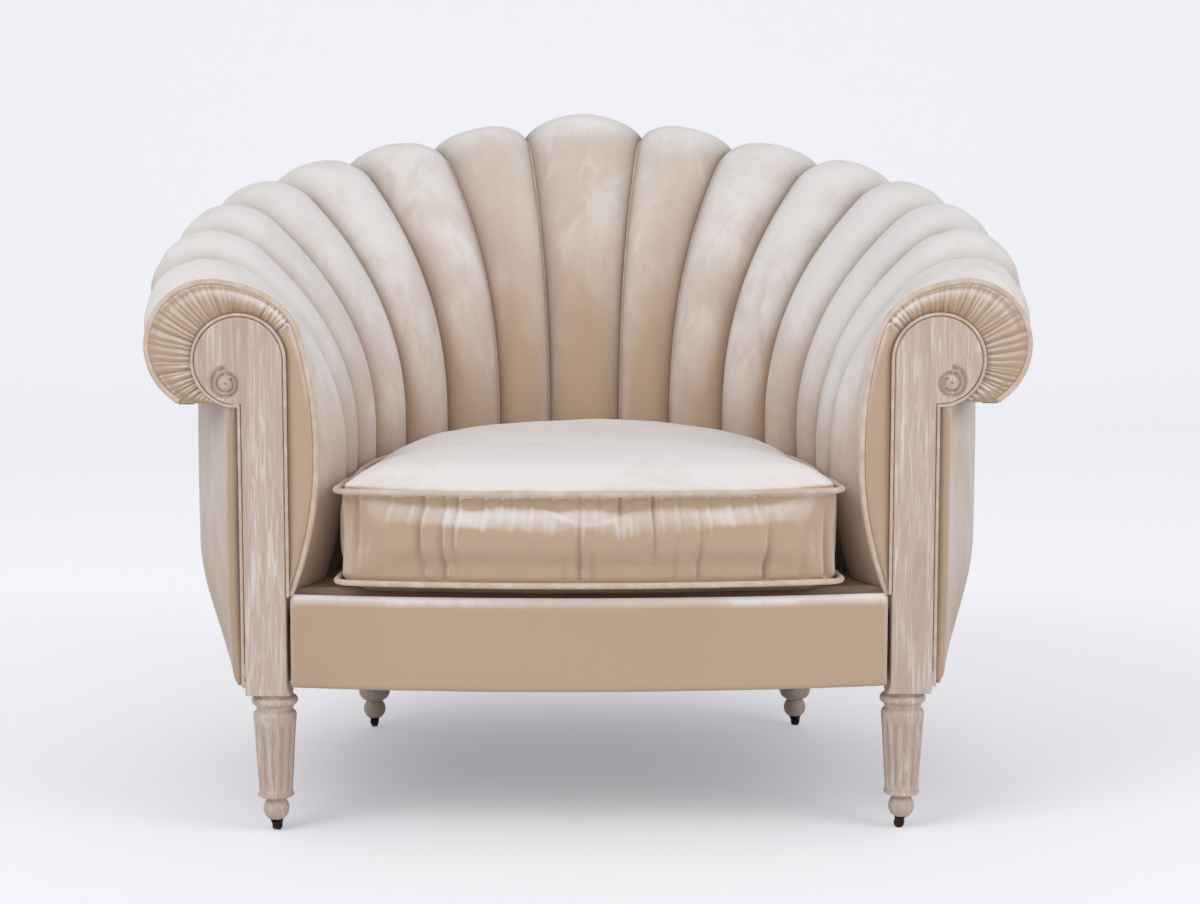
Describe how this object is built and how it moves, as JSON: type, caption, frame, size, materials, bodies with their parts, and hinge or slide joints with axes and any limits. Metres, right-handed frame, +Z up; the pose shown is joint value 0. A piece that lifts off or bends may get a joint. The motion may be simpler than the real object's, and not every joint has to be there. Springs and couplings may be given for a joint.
{
  "type": "scallop back armchair",
  "caption": "Upholstered tub armchair with a channelled scallop back rolling over the arms, a loose seat cushion, scrolled arm posts and turned legs on small casters.",
  "frame": {"origin": "on the floor under the middle of the chair's box", "axes": "+X to the right as seen from the front, +Y to the back, +Z up"},
  "size_m": [1.121, 0.8573, 0.892],
  "materials": {
    "dark_bronze": "dark oil-rubbed bronze",
    "deck_cloth": "felted pad under cotton cloth",
    "dust_cloth": "black non-woven cloth",
    "frame_wood": "planed beech",
    "limed_oak": "limed open-grain oak, matt",
    "piping": "cream piping and braid",
    "velvet": "pale champagne velvet with a silky nap",
    "webbing": "woven jute band"
  },
  "bodies": {
    "root": {"arm_facing_left": "velvet", "arm_facing_right": "velvet", "arm_piping_left": "piping", "arm_piping_right": "piping", "arm_post_left": "limed_oak", "arm_post_right": "limed_oak", "arm_ruche_left": "velvet", "arm_ruche_right": "velvet", "arm_uprights": "frame_wood", "back_uprights": "frame_wood", "caster_sockets": "dark_bronze", "channel_left_1": "velvet", "channel_left_2": "velvet", "channel_left_3": "velvet", "channel_left_4": "velvet", "channel_left_5": "velvet", "channel_left_6": "velvet", "channel_left_7": "velvet", "channel_middle": "velvet", "channel_right_1": "velvet", "channel_right_2": "velvet", "channel_right_3": "velvet", "channel_right_4": "velvet", "channel_right_5": "velvet", "channel_right_6": "velvet", "channel_right_7": "velvet", "corner_blocks": "frame_wood", "dust_cover": "dust_cloth", "front_apron": "velvet", "front_legs": "limed_oak", "outside_panel_back": "velvet", "outside_panel_left": "velvet", "outside_panel_right": "velvet", "post_braid_left": "piping", "post_braid_right": "piping", "rear_legs": "limed_oak", "seat_deck": "deck_cloth", "seat_rail_back": "frame_wood", "seat_rail_front": "frame_wood", "seat_rail_left": "frame_wood", "seat_rail_right": "frame_wood", "seat_webbing": "webbing", "top_rail_back": "frame_wood", "top_rail_left": "frame_wood", "top_rail_right": "frame_wood"},
    "cushion": {"cushion_piping_lower": "piping", "cushion_piping_upper": "piping", "seat_cushion": "velvet"},
    "caster_front_left": {"caster_fork_front_left": "dark_bronze"},
    "wheel_front_left": {"caster_wheel_front_left": "dark_bronze"},
    "caster_rear_left": {"caster_fork_rear_left": "dark_bronze"},
    "wheel_rear_left": {"caster_wheel_rear_left": "dark_bronze"},
    "caster_front_right": {"caster_fork_front_right": "dark_bronze"},
    "wheel_front_right": {"caster_wheel_front_right": "dark_bronze"},
    "caster_rear_right": {"caster_fork_rear_right": "dark_bronze"},
    "wheel_rear_right": {"caster_wheel_rear_right": "dark_bronze"}
  },
  "joints": [
    {"name": "cushion_lift", "type": "slide", "parent": "root", "child": "cushion", "axis": [0, 0, 1], "range_m": [0, 0.3]},
    {"name": "caster_swivel_front_left", "type": "hinge", "parent": "root", "child": "caster_front_left", "pos_m": [-0.384, -0.35895, 0.012], "axis": [0, 0, 1], "continuous": true},
    {"name": "wheel_roll_front_left", "type": "hinge", "parent": "caster_front_left", "child": "wheel_front_left", "pos_m": [-0.38325, -0.35688, 0.0064], "axis": [-0.9397, 0.342, 0], "continuous": true},
    {"name": "caster_swivel_rear_left", "type": "hinge", "parent": "root", "child": "caster_rear_left", "pos_m": [-0.307, 0.19805, 0.012], "axis": [0, 0, 1], "continuous": true},
    {"name": "wheel_roll_rear_left", "type": "hinge", "parent": "caster_rear_left", "child": "wheel_rear_left", "pos_m": [-0.30749, 0.20019, 0.0064], "axis": [-0.9744, -0.225, 0], "continuous": true},
    {"name": "caster_swivel_front_right", "type": "hinge", "parent": "root", "child": "caster_front_right", "pos_m": [0.384, -0.35895, 0.012], "axis": [0, 0, 1], "continuous": true},
    {"name": "wheel_roll_front_right", "type": "hinge", "parent": "caster_front_right", "child": "wheel_front_right", "pos_m": [0.38185, -0.35849, 0.0064], "axis": [-0.2079, -0.9781, 0], "continuous": true},
    {"name": "caster_swivel_rear_right", "type": "hinge", "parent": "root", "child": "caster_rear_right", "pos_m": [0.307, 0.19805, 0.012], "axis": [0, 0, 1], "continuous": true},
    {"name": "wheel_roll_rear_right", "type": "hinge", "parent": "caster_rear_right", "child": "wheel_rear_right", "pos_m": [0.30826, 0.19985, 0.0064], "axis": [-0.8192, 0.5736, 0], "continuous": true}
  ]
}
